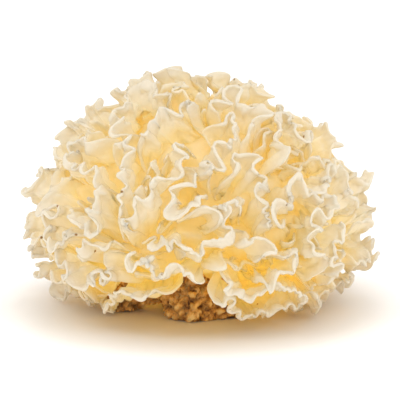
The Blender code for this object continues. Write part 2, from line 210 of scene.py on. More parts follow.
# A slow bend of the walls inside the head: its height, its waves and their shares, and its twist.
SWAY = 4.0 * MM
SWAY_WAVES = ((44 * MM, 1.0), (29 * MM, 0.55))
SWAY_DEPTH = 0.25
SWAY_CURVE = 1.3
SWAY_STARTS = (1.7, 2.9)
SWAY_TWIST = 1.3
SWAY_TWIST_PACE = 0.6

# Crinkles all over a sheet: how many, their lengths in millimetres, and their steepness.
CRINKLES = 14
CRINKLE_LENGTHS = (2.6, 9.0)
CRINKLE_STEEPNESS = 0.04
# The fleshy edge of a sheet: half its thickness, and how far in it tapers off, in millimetres.
FLESH = 0.6
FLESH_TAPER = 5.0
FLESH_CURVE = 1.5
LEAST_FLESH = 0.05
PLUMPNESS = 0.25
PLUMP_LENGTH = 2.8
PLUMP_RANGE = (0.5, 1.6)
EDGE_FADE = 1.5

# Rims with calmer ruffles, and how the ends of the rims drop.
QUIET_RIMS = {"fringe_left": 0.4, "ribbon_low": 0.6, "fringe_right": 0.5, "low_left_ruffle": 0.6}
END_LENGTH = 9.0
END_DROP = 0.26
OUTLINE_LIP = 0.4
OUTLINE_END_DROP = 0.04

# The holdfast: wrinkles of packed folds.
HOLDFAST_DETAIL = 6
WRINKLE_LENGTHS = (17.0, 11.0, 7.0, 4.6)
WRINKLE_HEIGHT = 0.2
RIDGE_WAVES = 3
RIDGE_SWIRL = 0.8
RIDGE_SWIRL_LENGTH = 2.3
RIDGE_START = 6
# How much fuller it is than its solid on its upper side, and from where.
FULLER = 0.12
FULLER_FROM = -0.05
FULLER_WITHIN = 0.2

# In front of the substrate the flesh steps back: where, with soft borders, and by how much.
SUBSTRATE_BELOW = 0.02
SUBSTRATE_BELOW_BORDER = 0.1
SUBSTRATE_FORWARD = 0.6
SUBSTRATE_FORWARD_BORDER = 0.2
SUBSTRATE_HOLLOW = 0.25
SUBSTRATE_SHORTER = 1.5

# The substrate: the size and height of its crumbs in millimetres and their share in its colour,
# and how far it bulges towards the front.
SUBSTRATE_VOXEL = 0.5 * MM
SUBSTRATE_CLEARANCE = 0.2 * MM
CRUMBS = ((6.0, 2.2, 0.45), (2.3, 1.3, 0.55))
CRUMB_OCTAVES = 4
CRUMB_EXTREMES = (4, 96)
BULGE_FROM = 8 * MM
BULGE_WITHIN = 8 * MM
BULGE_HEIGHT = 0.38
BULGE_WIDTH = 0.12

# The flesh: its colours by depth, yellower deeper in, partly its own colour and partly painted shade of
# the golden hollows; its painted glow by depth; its pale edges, and the brown of its specks.
FLESH_AND_HOLLOW_SHADE_COLOURS = (
    (0.0, (0.955, 0.91, 0.80)), (0.1, (0.965, 0.905, 0.73)), (0.2, (0.975, 0.90, 0.61)),
    (0.35, (0.975, 0.885, 0.45)),
)
# Painted glow: the deeper flesh emits golden light, standing in for light gathered in the hollows.
PAINTED_HOLLOW_GLOW = (
    (0.02, (0.0, 0.0, 0.0)), (0.16, (0.10, 0.080, 0.026)), (0.35, (0.24, 0.180, 0.048)),
)
EDGE_COLOURS = ((0.3, (0.89, 0.82, 0.67)), (0.7, (0.92, 0.87, 0.75)))
EDGE_SHARE = 0.8
SPECK_COLOURS = ((0.3, (0.20, 0.09, 0.02)), (0.7, (0.45, 0.25, 0.07)))
# Specks: how many to a metre, and where they fade and end, as shares of their distance.
SPECK_SCALE = 75
SPECK_RADII = (0.03, 0.055)
# How much light goes through the flesh: inside, and at the edge.
THROUGH = (0.48, 0.35)

# The wood: its colours from crevice to crumb, with painted shade in the crevices, and of its stains.
WOOD_AND_CREVICE_SHADE_COLOURS = (
    (0.2, (0.06, 0.016, 0.002)), (0.42, (0.50, 0.21, 0.035)), (0.62, (0.85, 0.48, 0.12)),
    (0.85, (0.97, 0.74, 0.34)),
)
STAIN_COLOURS = (
    (0.4, (0.07, 0.02, 0.003)), (0.5, (0.72, 0.36, 0.08)), (0.6, (0.97, 0.70, 0.30)),
)
STAIN_SHARE = 0.75

# The floor: a painted shadow under the head, white further away with a painted glow, by distance in
# metres.
FLOOR_HALF = 6.0
FLOOR_SHADOW_COLOURS = ((0.045, (0.70, 0.66, 0.62)), (0.09, (0.95, 0.95, 0.95)))
FLOOR_PAINTED_GLOW = ((0.05, (0.0, 0.0, 0.0)), (0.09, (0.24, 0.24, 0.24)))

# The lamps: place, size in metres and power in watts.
LIT_PLACE = Vector((0, 0, 0.04))
LAMPS = {
    "key": ((-0.4, -0.4, 0.7), 0.1, 0.6),
    "top": ((0.05, 0.1, 0.9), 0.1, 0.4),
    "right": ((0.45, -0.45, 0.5), 0.1, 0.5),
}

# Rims on the outline: how far each lies behind the heart, in millimetres, and its places in the
# photograph.
OUTLINE_RIMS = {
    "left_shoulder": (4, (
        (54, 172), (54, 163), (60, 157), (61, 148), (59, 140), (63, 131), (66, 122), (74, 121),
        (83, 118), (83, 110), (90, 106), (98, 102), (106, 99), (112, 103),
    )),
    "crown_left": (-3, (
        (117, 106), (116, 92), (122, 86), (131, 80), (138, 83), (145, 76), (152, 73), (159, 78),
        (165, 71), (172, 66), (181, 70), (190, 74), (194, 82),
    )),
    "crown_right": (5, (
        (201, 82), (207, 78), (213, 75), (218, 71), (225, 76), (231, 82), (240, 82), (247, 81),
        (253, 90), (263, 88), (268, 95), (267, 104), (272, 111), (279, 118),
    )),
    "right_shoulder": (-8, (
        (297, 118), (302, 120), (306, 117), (312, 122), (322, 128), (334, 130), (337, 139),
        (334, 147), (331, 155),
    )),
    "right_rim_high": (0, (
        (335, 161), (341, 160), (347, 165), (353, 171), (359, 176), (366, 180), (372, 176),
        (371, 187), (370, 197),
    )),
    "right_rim_low": (3, (
        (373, 203), (380, 208), (376, 217), (368, 222), (362, 231), (363, 241), (371, 247),
        (379, 254), (372, 261), (365, 269), (356, 265),
    )),
    "right_skirt": (-2, (
        (351, 269), (355, 279), (349, 285), (341, 290), (332, 292), (326, 299), (317, 302),
        (309, 299),
    )),
    "left_rim_high": (-3, (
        (49, 168), (40, 167), (34, 175), (37, 184), (29, 188), (23, 193), (29, 200), (33, 208),
    )),
    "left_rim_middle": (3, (
        (31, 211), (24, 214), (22, 221), (26, 231), (33, 238), (27, 243), (29, 250), (27, 257),
    )),
    "left_skirt": (-2, (
        (29, 264), (37, 272), (46, 277), (51, 281), (53, 288), (65, 288), (69, 295), (78, 298),
    )),
}

# Rims on the front of the dome: their places in the photograph.
FRONT_RIMS = {
    "fringe_left": (
        (86, 303), (97, 307), (107, 308), (109, 299), (114, 292), (123, 296), (130, 292),
        (138, 296), (146, 293), (154, 295), (163, 293),
    ),
    "ribbon_low": (
        (121, 238), (120, 249), (123, 259), (132, 262), (141, 258), (149, 254), (155, 259),
        (155, 269), (154, 279), (162, 284), (169, 277), (176, 277), (184, 279), (190, 276),
        (197, 281), (204, 277), (214, 277),
    ),
    "fringe_right": (
        (213, 292), (217, 304), (225, 306), (233, 304), (237, 314), (246, 320), (257, 320),
        (264, 314), (274, 315), (283, 311), (292, 309), (301, 309), (308, 302), (300, 294),
        (291, 291), (281, 289), (273, 290), (264, 294), (256, 299), (247, 300), (240, 291),
        (236, 280), (228, 275), (219, 279),
    ),
    "long_ridge": (
        (192, 133), (184, 142), (177, 155), (171, 168), (161, 180), (154, 192), (147, 204),
        (137, 212), (124, 218), (121, 227), (130, 232), (139, 232),
    ),
    "hook": (
        (186, 160), (193, 165), (188, 173), (182, 181), (180, 191), (174, 201), (179, 208),
        (189, 209), (197, 204), (201, 196), (208, 190), (215, 190),
    ),
    "v_fold": (
        (153, 223), (154, 235), (160, 243), (170, 240), (179, 245), (188, 254), (199, 259),
        (209, 253), (219, 247), (228, 238), (226, 228), (223, 217), (217, 208), (220, 201),
        (230, 200), (239, 205), (246, 213), (256, 215),
    ),
    "small_arch": (
        (194, 228), (196, 218), (204, 214), (212, 219), (213, 229), (208, 238),
    ),
    "right_inner_flap": (
        (240, 221), (244, 230), (244, 239), (249, 246), (257, 249), (259, 258), (264, 262),
        (269, 255), (272, 247),
    ),
    "centre_right": (
        (236, 182), (236, 171), (239, 161), (246, 157), (253, 164), (261, 172), (268, 180),
        (271, 189), (266, 198), (266, 207), (270, 216), (268, 225), (274, 232), (283, 235),
    ),
    "right_terrace": (
        (363, 196), (354, 198), (346, 193), (345, 183), (342, 173), (333, 172), (325, 172),
        (321, 180), (314, 186), (305, 188), (296, 190), (297, 198), (290, 204), (286, 212),
        (290, 220), (299, 223), (303, 229),
    ),
    "peak": (
        (324, 138), (314, 132), (302, 130), (294, 122), (288, 115), (284, 124), (280, 134),
        (280, 144), (279, 151), (269, 156),
    ),
    "right_wave": (
        (312, 210), (318, 201), (327, 197), (334, 203), (332, 213), (323, 220), (322, 230),
        (318, 241), (317, 252), (323, 261), (323, 269), (314, 272),
    ),
    "right_outer": (
        (353, 213), (347, 222), (344, 233), (346, 244), (341, 255), (334, 263), (332, 273),
        (333, 283), (342, 281),
    ),
    "low_right_petal": (
        (253, 282), (262, 277), (272, 276), (282, 276), (291, 272), (299, 265), (301, 255),
        (294, 247), (285, 249), (278, 257),
    ),
    "left_wall": (
        (110, 154), (113, 145), (120, 141), (126, 148), (128, 160), (131, 170), (128, 181),
        (122, 190), (120, 200), (117, 209), (110, 215), (104, 220),
    ),
    "left_flap": (
        (113, 178), (109, 188), (103, 197), (98, 206), (95, 215), (89, 224), (81, 220),
        (75, 217), (72, 206), (70, 195),
    ),
    "left_petal": (
        (97, 147), (90, 142), (82, 141), (73, 145), (66, 152), (65, 161), (72, 168), (82, 166),
        (91, 167), (101, 172), (112, 170),
    ),
    "centre_petal": (
        (134, 152), (137, 142), (145, 137), (149, 129), (153, 121), (162, 118), (171, 116),
        (178, 110), (183, 102), (191, 101), (198, 106), (199, 116),
    ),
    "upper_right_petal": (
        (207, 112), (210, 101), (217, 95), (227, 93), (237, 97), (246, 102), (254, 110),
        (258, 121), (256, 133), (259, 144),
    ),
    "bib": (
        (216, 128), (220, 118), (228, 116), (236, 120), (241, 130), (240, 141), (232, 149),
        (222, 147), (212, 152), (204, 158), (204, 168), (209, 176), (217, 177), (222, 173),
    ),
    "crown_front": (
        (136, 124), (127, 127), (117, 124), (111, 116), (117, 107), (124, 98), (131, 91),
        (139, 88), (149, 91), (159, 92), (168, 87), (178, 88),
    ),
    "left_cheek": (
        (53, 178), (46, 187), (45, 198), (50, 208), (46, 218), (41, 228), (44, 239), (53, 243),
        (59, 234), (66, 226), (74, 230), (78, 241),
    ),
    "low_left_wave": (
        (110, 243), (103, 240), (95, 243), (91, 251), (84, 258), (74, 262), (65, 258),
    ),
    "low_left_ruffle": (
        (43, 257), (52, 261), (61, 267), (70, 271), (75, 280), (83, 281), (88, 272), (95, 277),
        (102, 285), (110, 281), (109, 271), (103, 264), (107, 256),
    ),
}

# Smaller folds that show between the fronds.
SMALL_RIMS = {
    "knuckle_right": ((256, 133), (264, 124), (272, 123), (274, 130), (272, 139), (267, 146)),
    "slot": ((142, 148), (149, 149), (154, 154), (158, 162), (157, 171)),
    "throat_edge": ((226, 248), (224, 257), (218, 264), (211, 267), (203, 269)),
    "left_ledge": ((69, 134), (75, 129), (81, 127), (88, 126)),
    "hollow_left": ((140, 166), (145, 176), (143, 187), (136, 196)),
    "hollow_right": ((292, 150), (300, 160), (311, 163), (321, 158)),
    "swirl_left": ((84, 186), (88, 196), (84, 206)),
    "low_middle": ((172, 258), (181, 262), (189, 268)),
    "low_right": ((241, 262), (246, 268), (253, 270)),
    "flank_left": ((55, 200), (60, 210), (58, 221)),
    "crown_gap": ((196, 92), (203, 86), (211, 84), (218, 88)),
}

FORWARD = np.array([0.0, math.cos(VIEW_ELEVATION), -math.sin(VIEW_ELEVATION)])
UP = np.array([0.0, math.sin(VIEW_ELEVATION), math.cos(VIEW_ELEVATION)])
RIGHT = np.array([1.0, 0.0, 0.0])
HEART_LIFT = (HEART_ROW - PHOTO_MIDDLE[1]) * PIXEL / math.cos(VIEW_ELEVATION)
AIM = HEART + np.array([0.0, 0.0, HEART_LIFT])
EYE = AIM - FORWARD * VIEW_DISTANCE


def unit(vectors):
    """Vectors brought to unit length."""
    return vectors / np.sqrt((vectors ** 2).sum(-1, keepdims=True))


def by_elevation(table, directions, tilt=0.0):
    """A distance that a table gives in millimetres by elevation, in these directions."""
    elevation = np.degrees(np.arcsin(np.clip(directions[..., 2], -1, 1)))
    at, far = np.array(table, float).T
    return np.interp(elevation + tilt, at, far) * MM


def reach(directions):
    """How far the fronds grow from the heart in these directions."""
    return by_elevation(REACH_AT, directions)


def sight(place):
    """The direction in which the eye sees a place of the photograph."""
    across = (place[0] - PHOTO_MIDDLE[0]) * PIXEL / VIEW_DISTANCE
    up = (PHOTO_MIDDLE[1] - place[1]) * PIXEL / VIEW_DISTANCE
    return unit(FORWARD + RIGHT * across + UP * up)


def on_plane(place, behind):
    """A place of the photograph on the upright plane that lies so far behind the heart."""
    ray = sight(place)
    length = ((HEART + FORWARD * behind - EYE) * FORWARD).sum() / (ray * FORWARD).sum()
    return EYE + ray * length


def on_dome(place):
    """A place of the photograph on the near side of the dome of fronds."""
    ray = sight(place)
    to_heart = HEART - EYE
    along = (to_heart * ray).sum()
    miss = (to_heart ** 2).sum() - along ** 2
    radius = MEAN_REACH
    for _ in range(DOME_ROUNDS):
        hit = EYE + ray * (along - math.sqrt(max(radius ** 2 - miss, 0)))
        radius = float(reach(unit(hit - HEART)))
    return hit


def resample(points, step):
    """Points at even steps along a line of points."""
    lengths = np.sqrt((np.diff(points, axis=0) ** 2).sum(1))
    run = np.concatenate([[0.0], np.cumsum(lengths)])
    count = max(FEWEST_COLUMNS, int(round(run[-1] / step)) + 1)
    marks = np.linspace(0, run[-1], count)
    return np.stack([np.interp(marks, run, points[:, k]) for k in range(3)], 1)


def outline_rim(behind, places, phase):
    """A rim on the outline, which also sways towards and away from the eye."""
    flat = np.array([on_plane(place, behind) for place in places])
    steps = np.sqrt((np.diff(flat, axis=0) ** 2).sum(1))
    run = np.concatenate([[0.0], np.cumsum(steps)])
    sway = OUTLINE_SWAY * np.sin(2 * math.pi * run / OUTLINE_SWAY_LENGTH + phase)
    return np.array([on_plane(place, behind + more) for place, more in zip(places, sway)])


def dome_rims(table):
    """The rims of a table of places, on the near side of the dome."""
    return {name: np.array([on_dome(place) for place in places]) for name, places in table.items()}


def exact_rims():
    """The rims of the front and the outline, just as they are placed in the photograph."""
    rims = {}
    for number, (name, (behind, places)) in enumerate(OUTLINE_RIMS.items()):
        rims[name] = outline_rim(behind * MM, places, number * OUTLINE_SWAY_START)
    return {**rims, **dome_rims(FRONT_RIMS)}


def clear_runs(points, others, clearance):
    """The stretches of a line of points that keep clear of the other points."""
    gaps = np.sqrt(((points[:, None] - others[None]) ** 2).sum(-1)).min(1)
    runs = []
    run = []
    for point, gap in zip(points, gaps):
        if gap > clearance:
            run.append(point)
        elif run:
            runs.append(np.array(run))
            run = []
    if run:
        runs.append(np.array(run))
    return runs


def on_ball(turn, lift):
    """Directions by their turn from the back and their lift, in radians."""
    flat = np.cos(lift)
    return np.stack([flat * np.sin(turn), flat * np.cos(turn), np.sin(lift)], -1)


def wavy_row(level, turns, wave_length, wave_height, starts):
    """A wavy row around the head at an elevation in degrees, as points on a ball."""
    elevation = math.radians(level)
    ring = MEAN_REACH * math.cos(elevation)
    waves = max(FEWEST_WAVES, round(2 * math.pi * ring / wave_length))
    height = wave_height * min(1, ring / CALM_RING)
    second = np.sin(turns * waves * SECOND_WAVE_PACE + starts[1])
    swell = np.sin(turns * waves + starts[0]) + SECOND_WAVE_HEIGHT * second
    lift = elevation + height * swell / MEAN_REACH
    sway = turns + ROW_SWAY * np.sin(turns * ROW_SWAY_PACE + starts[2])
    return resample(on_ball(sway, lift) * MEAN_REACH, COARSE_STEP)


def back_rims(front):
    """Nested wavy rows over the back, cut where the front begins and into frond lengths."""
    rng = np.random.default_rng(SEED)
    others = unit(np.concatenate(list(front.values())) - HEART) * MEAN_REACH
    turns = np.linspace(-BACK_TURN, BACK_TURN, BACK_SAMPLES)
    rims = {}
    for row, level in enumerate(BACK_ROWS):
        starts = rng.uniform(0, 2 * math.pi, 3)
        points = wavy_row(level, turns, BACK_WAVE_LENGTH, BACK_WAVE_HEIGHT, starts)
        number = 0
        for run in clear_runs(points, others, BACK_FRONT_CLEARANCE):
            length = (len(run) - 1) * COARSE_STEP
            if length < BACK_SHORTEST_RIM:
                continue
            pieces = math.ceil(length / BACK_RIM_LENGTH)
            for piece in np.array_split(run, pieces):
                if len(piece) < BACK_FEWEST_COLUMNS:
                    continue
                number += 1
                kept = unit(piece[:-1] if pieces > 1 else piece)
                rims[f"back_row_{row + 1}_{number}"] = HEART + kept * reach(kept)[:, None]
    return rims


def longest_filling(crowd):
    """The longest wavy rim that keeps clear of all the others."""
    turns = np.linspace(-math.pi, math.pi, FILLING_SAMPLES)
    longest = []
    for level in FILLING_ROWS:
        for phase in FILLING_PHASES:
            starts = (phase, *FILLING_WANDER)
            points = wavy_row(level, turns, FILLING_WAVE_LENGTH, FILLING_WAVE_HEIGHT, starts)
            for run in clear_runs(points, crowd, FILLING_CLEARANCE):
                facing = run.mean(0) / MEAN_REACH
                before_substrate = facing[1] < -OPEN_FRONT and facing[2] < OPEN_BELOW
                if len(run) > len(longest) and not before_substrate:
                    longest = run
    return unit(longest)


def filling_rims(rims):
    """A few more rims in the widest hollows."""
    crowd = np.concatenate([directions for directions, _ in rims.values()]) * MEAN_REACH
    found = {}
    for number in range(FILLING_RIMS):
        kept = longest_filling(crowd)
        crowd = np.concatenate([crowd, kept * MEAN_REACH])
        far = reach(kept)[:, None] * FILLING_REACH
        found[f"filling_{number + 1}"] = HEART + kept * far
    return found


def all_rims(exact):
    """The directions and the reach of every rim of the head, clear of each other."""
    front = {name: resample(points, COARSE_STEP) for name, points in exact.items()}
    rims = spread({**front, **back_rims(front)})
    places = {name: HEART + way * far[:, None] for name, (way, far) in rims.items()}
    return spread({**places, **filling_rims(rims)})


def spread(rims):
    """Push the rims apart, in direction only, so that every sheet clears its neighbours."""
    names = list(rims)
    sizes = [len(rims[name]) for name in names]
    out = np.concatenate([rims[name] for name in names]) - HEART
    radius = np.sqrt((out ** 2).sum(1))
    rim = np.repeat(np.arange(len(names)), sizes)
    place = np.concatenate([np.arange(size) for size in sizes])
    home = unit(out) * MEAN_REACH
    now = home.copy()
    joined = rim[:, None] == rim[None]
    near = joined & (abs(place[:, None] - place[None]) <= NEAR_NEIGHBOURS)
    inner = (place > 0) & (place < np.repeat(sizes, sizes) - 1)
    for _ in range(SPREAD_ROUNDS):
        away = now[:, None] - now[None]
        gap = np.sqrt((away ** 2).sum(-1))
        short = np.where(near, 0, np.clip(RIM_SPACING - gap, 0, None))
        push = (away * (short / np.maximum(gap, TINY))[..., None]).sum(1) * SPREAD_PUSH
        smooth = np.zeros_like(now)
        middle = (np.roll(now, 1, 0) + np.roll(now, -1, 0)) / 2 - now
        smooth[inner] = middle[inner] * SPREAD_SMOOTHING
        now = now + push + smooth + (home - now) * ANCHOR_PULL
        now = unit(now) * MEAN_REACH
    directions = unit(now)
    starts = np.cumsum([0] + sizes[:-1])
    return {
        name: (directions[start:start + size], radius[start:start + size])
        for name, start, size in zip(names, starts, sizes)
    }


def fine_line(points, step):
    """A smooth curve through points, at even fine steps."""
    before = 2 * points[:1] - points[1:2]
    after = 2 * points[-1:] - points[-2:-1]
    places = np.concatenate([before, points, after])
    t = np.linspace(0, 1, CURVE_PARTS, endpoint=False)[:, None, None]
    a, b, c, d = places[:-3], places[1:-2], places[2:-1], places[3:]
    curve = (
        2 * b + (c - a) * t + (2 * a - 5 * b + 4 * c - d) * t ** 2
        + (3 * b - a - 3 * c + d) * t ** 3
    ) / 2
    curve = np.concatenate([curve.transpose(1, 0, 2).reshape(-1, 3), points[-1:]])
    return resample(curve, step)


def wander(along, length, rng, parts=WANDER_PARTS):
    """Smooth noise of about unit height along a line, with details no shorter than a length."""
    total = np.zeros_like(along)
    for k in range(parts):
        wave = length * (1 + WANDER_GROWTH * k)
        total += np.sin(2 * math.pi * along / wave + rng.uniform(0, 2 * math.pi))
    return total / math.sqrt(parts / 2)


def room_beside(line, rim_number, crowd, crowd_rims):
    """How much room, in millimetres, each point of a rim has on its two sides."""
    along = np.gradient(line, axis=0)
    across = unit(np.cross(along, line))
    away = crowd[None] - line[:, None]
    gap = np.sqrt((away ** 2).sum(-1))
    side = (away * across[:, None]).sum(-1) / np.maximum(gap, TINY)
    own = crowd_rims[None] == rim_number
    sides = []
    for sign in (1, -1):
        facing = (side * sign > SIDEWAYS) & ~(own & (gap < OWN_NEAR))
        sides.append(np.where(facing, gap, MOST_ROOM).min(1) / MM)
    return sides


def running_mean(values, width):
    """A running mean along a line."""
    kernel = np.hanning(width + 2)[1:-1]
    kernel /= kernel.sum()
    padded = np.pad(values, width, mode="edge")
    return np.convolve(padded, kernel, mode="same")[width:-width]


def sway_inside(points, directions):
    """A smooth bend of all the walls between the rims and the holdfast, the same for every sheet."""
    depth = 1 - np.sqrt(((points - HEART) ** 2).sum(-1)) / reach(directions)[None]
    strength = SWAY * np.clip(depth / SWAY_DEPTH, 0, 1) ** SWAY_CURVE
    bend = np.zeros_like(points)
    for k in range(3):
        for wave, share in SWAY_WAVES:
            a = points[..., (k + 1) % 3] / wave + SWAY_STARTS[0] * k
            b = points[..., (k + 2) % 3] / wave + SWAY_STARTS[1] * k
            twist = SWAY_TWIST * np.sin(2 * math.pi * b * SWAY_TWIST_PACE)
            bend[..., k] += share * np.sin(2 * math.pi * a + twist)
    return bend * strength[..., None]


def rows_inwards(depth):
    """How far in from the rim each row lies for each column's depth."""
    rows_in = np.array(ROWS_IN, float)[:, None]
    share = rows_in / rows_in[-1]
    stretch = depth[None] / rows_in[-1]
    even = rows_in * stretch
    uneven = rows_in * (1 + (stretch - 1) * share)
    return np.where(stretch > LEAST_STRETCH, uneven, even)


def before_substrate(directions):
    """How much a direction points low at the front, where the substrate shows."""
    low = np.clip((SUBSTRATE_BELOW - directions[:, 2]) / SUBSTRATE_BELOW_BORDER, 0, 1)
    forward = (-directions[:, 1] - SUBSTRATE_FORWARD) / SUBSTRATE_FORWARD_BORDER
    return np.clip(forward, 0, 1) * low


def ruffle_waves(along, calm, strength, starts, rng):
    """The turn, the height and the fading of each ruffle along a rim."""
    waves = []
    for k, (wave, height, fade) in enumerate(RUFFLES):
        drift = PACE_WANDER * wander(along, wave * PACE_LENGTH, rng)
        turn = 2 * math.pi * along / wave + drift + starts[k]
        uneven = 1 + HEIGHT_WANDER * wander(along, wave * HEIGHT_LENGTH, rng, HEIGHT_PARTS)
        swell = height * (strength if k < STRONG_RUFFLES else 1) * uneven
        waves.append((turn, swell * calm, fade))
    return waves


def curled_rows(inwards, depth, root, lean, lip):
    """How far sideways and how far out each row lies, where the lip curls over."""
    middle = (inwards[1:] + inwards[:-1]) / 2
    bend = LIP_TURN * lip * lean * np.clip(1 - middle / LIP_LENGTH, 0, 1) ** LIP_CURVE
    span = np.diff(inwards, axis=0)
    side = np.zeros_like(inwards)
    rise = np.zeros_like(inwards)
    side[:-1] = np.cumsum((np.sin(bend) * span)[::-1], 0)[::-1]
    rise[:-1] = np.cumsum((np.cos(bend) * span)[::-1], 0)[::-1]
    return side, root + rise + (depth - rise[:1]) * np.exp(-inwards / SETTLING)


def ruffled(side, along, inwards, ruffles, rng):
    """The sideways places with the ruffles and crinkles, and how far the ruffles lean over."""
    back = np.zeros_like(side)
    for turn, swell, fade in ruffles:
        fading = np.exp(-((inwards / fade) ** RUFFLE_CURVE))
        side = side + swell * np.sin(turn) * fading
        back = back - OVERHANG * swell * np.sin(2 * turn) * fading
    for _ in range(CRINKLES):
        angle = rng.uniform(0, math.pi)
        wave = rng.uniform(*CRINKLE_LENGTHS)
        phase = 2 * math.pi * (math.cos(angle) * along[None] + math.sin(angle) * inwards) / wave
        side = side + CRINKLE_STEEPNESS * wave * np.sin(phase + rng.uniform(0, 2 * math.pi))
    return side, back


def sheet(directions, reach_mm, room, rng, end_drop, strength, lip):
    """A fine ruffled sheet: its vertices, faces, and the two masks that its material reads."""
    line = directions * MEAN_REACH
    steps = np.sqrt((np.diff(line, axis=0) ** 2).sum(1)) / MM
    along = np.concatenate([[0.0], np.cumsum(steps)])
    width = int(ROOM_SMOOTHING / (FINE_STEP / MM))
    plus, minus = (running_mean(side, width) for side in room)
    calm = np.clip(np.minimum(plus, minus) / ROOM_NEEDED, LEAST_CALM, 1.0)
    in_front = before_substrate(directions)
    calm = calm * (1 - SUBSTRATE_CALM * in_front)

    starts = rng.uniform(0, 2 * math.pi, RANDOM_STARTS)
    ruffles = ruffle_waves(along, calm, strength, starts, rng)
    rim_starts = (starts[5], 1, 2)
    wavy = sum(
        height * np.sin(turn + begin)
        for height, (turn, _, _), begin in zip(RIM_HEIGHTS, ruffles, rim_starts)
    )
    tip = reach_mm + wavy * strength - SUBSTRATE_SHORTER * in_front
    from_end = np.minimum(along, along[-1] - along)
    rounding = np.clip(1 - from_end / min(END_LENGTH, along[-1] / 2), 0, 1) ** 2
    tip = tip * (1 - end_drop * rounding)
    root = by_elevation(HOLDFAST_AT, directions) * fullness(directions) / MM - ROOT_DEPTH
    tip = np.maximum(tip, root + LEAST_DEPTH)

    slow_wave = LEAN_WAVE * np.sin(2 * math.pi * along / LIP_WAVE + starts[4])
    lean = (plus - minus) / LEAN_ROOM + slow_wave
    lean = np.tanh(lean * LEAN_GAIN) * np.clip(calm * LEAN_CALM, 0, 1) * (1 - in_front)
    depth = tip - root
    inwards = rows_inwards(depth)
    side, out = curled_rows(inwards, depth, root, lean, lip)
    side, back = ruffled(side, along, inwards, ruffles, rng)

    tangent = unit(np.gradient(line, axis=0))
    across = unit(np.cross(tangent, directions))
    points = (
        directions[None] * out[..., None] + across[None] * side[..., None]
        + tangent[None] * back[..., None]
    ) * MM + HEART
    points = points + sway_inside(points, directions)
    points[..., 2] = np.maximum(points[..., 2], FLOOR_CLEARANCE)

    plump = np.clip(1 + PLUMPNESS * wander(along, PLUMP_LENGTH, rng), *PLUMP_RANGE)
    return fleshy_sheet(points, np.minimum(inwards, from_end[None]), plump)


def fleshy_sheet(points, from_edge, plump):
    """A sheet of points, two-sided and rounded near its edge and one-sided further in."""
    rows, columns = from_edge.shape
    normal = unit_or_less(np.cross(np.gradient(points, axis=1), np.gradient(points, axis=0)))
    round_end = np.sqrt(np.clip(1 - (1 - from_edge / FLESH) ** 2, 0, 1))
    taper = np.clip(1 - (from_edge - FLESH) / (FLESH_TAPER - FLESH), 0, 1) ** FLESH_CURVE
    half = FLESH * MM * (np.where(from_edge < FLESH, round_end, taper) * plump)[..., None]
    one = np.arange(rows * columns).reshape(rows, columns)
    other = np.where(from_edge > 0, one + rows * columns, one)
    near_edge = np.minimum.reduce([
        from_edge[:-1, :-1], from_edge[1:, :-1], from_edge[1:, 1:], from_edge[:-1, 1:],
    ]) < FLESH_TAPER
    faces = np.concatenate([quads(one), quads(other[:, ::-1])[near_edge[:, ::-1].ravel()]])
    behind = np.maximum(half, LEAST_FLESH * MM)
    vertices = np.concatenate([(points + normal * half).reshape(-1, 3),
                               (points - normal * behind).reshape(-1, 3)])
    edge = np.tile(np.exp(-from_edge / EDGE_FADE).ravel(), 2)
    used, faces = np.unique(faces, return_inverse=True)
    vertices = vertices[used]
    return vertices, faces.reshape(-1, 4), {"sunk": sunk(vertices), "edge": edge[used]}


def quads(number):
    """The faces of a grid of vertex numbers."""
    corners = (number[:-1, :-1], number[:-1, 1:], number[1:, 1:], number[1:, :-1])
    return np.stack(corners, -1).reshape(-1, 4)


def unit_or_less(vectors):
    """Vectors brought to unit length, where they have any."""
    return vectors / np.maximum(np.sqrt((vectors ** 2).sum(-1, keepdims=True)), TINY ** 2)


def sunk(points):
    """How deep a point lies inside the head: nothing at the rims, one at the heart."""
    out = np.sqrt(((points - HEART) ** 2).sum(-1))
    return 1 - out / reach(unit(points - HEART))


def put(name, data):
    """A new object in the scene."""
    thing = bpy.data.objects.new(name, data)
    bpy.context.scene.collection.objects.link(thing)
    return thing


def mesh_object(name, vertices, faces, masks, material):
    """A smooth piece with the masks that its material reads."""
    mesh = bpy.data.meshes.new(name)
    sides = faces.shape[1]
    mesh.vertices.add(len(vertices))
    mesh.vertices.foreach_set("co", vertices.astype(np.float32).ravel())
    mesh.loops.add(faces.size)
    mesh.loops.foreach_set("vertex_index", faces.astype(np.int32).ravel())
    mesh.polygons.add(len(faces))
    mesh.polygons.foreach_set("loop_start", np.arange(0, faces.size, sides, dtype=np.int32))
    mesh.update(calc_edges=True)
    mesh.validate()
    for label, values in masks.items():
        layer = mesh.attributes.new(label, "FLOAT", "POINT")
        layer.data.foreach_set("value", values.astype(np.float32))
    mesh.shade_smooth()
    mesh.materials.append(material)
    return put(name, mesh)


def on_body(piece, node=None):
    """Make a piece ride with the head, and stand in for a plain solid where it has one."""
    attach(piece, "root")
    if node is not None:
        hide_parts(node)


def kept_open():
    """Directions towards the substrate from the front, where no inner fold grows."""
    azimuth, elevation = np.meshgrid(np.radians(OPEN_AZIMUTHS), np.radians(OPEN_ELEVATIONS))
    flat = np.cos(elevation)
    ways = [flat * np.sin(azimuth), -flat * np.cos(azimuth), np.sin(elevation)]
    return np.stack(ways, -1).reshape(-1, 3)


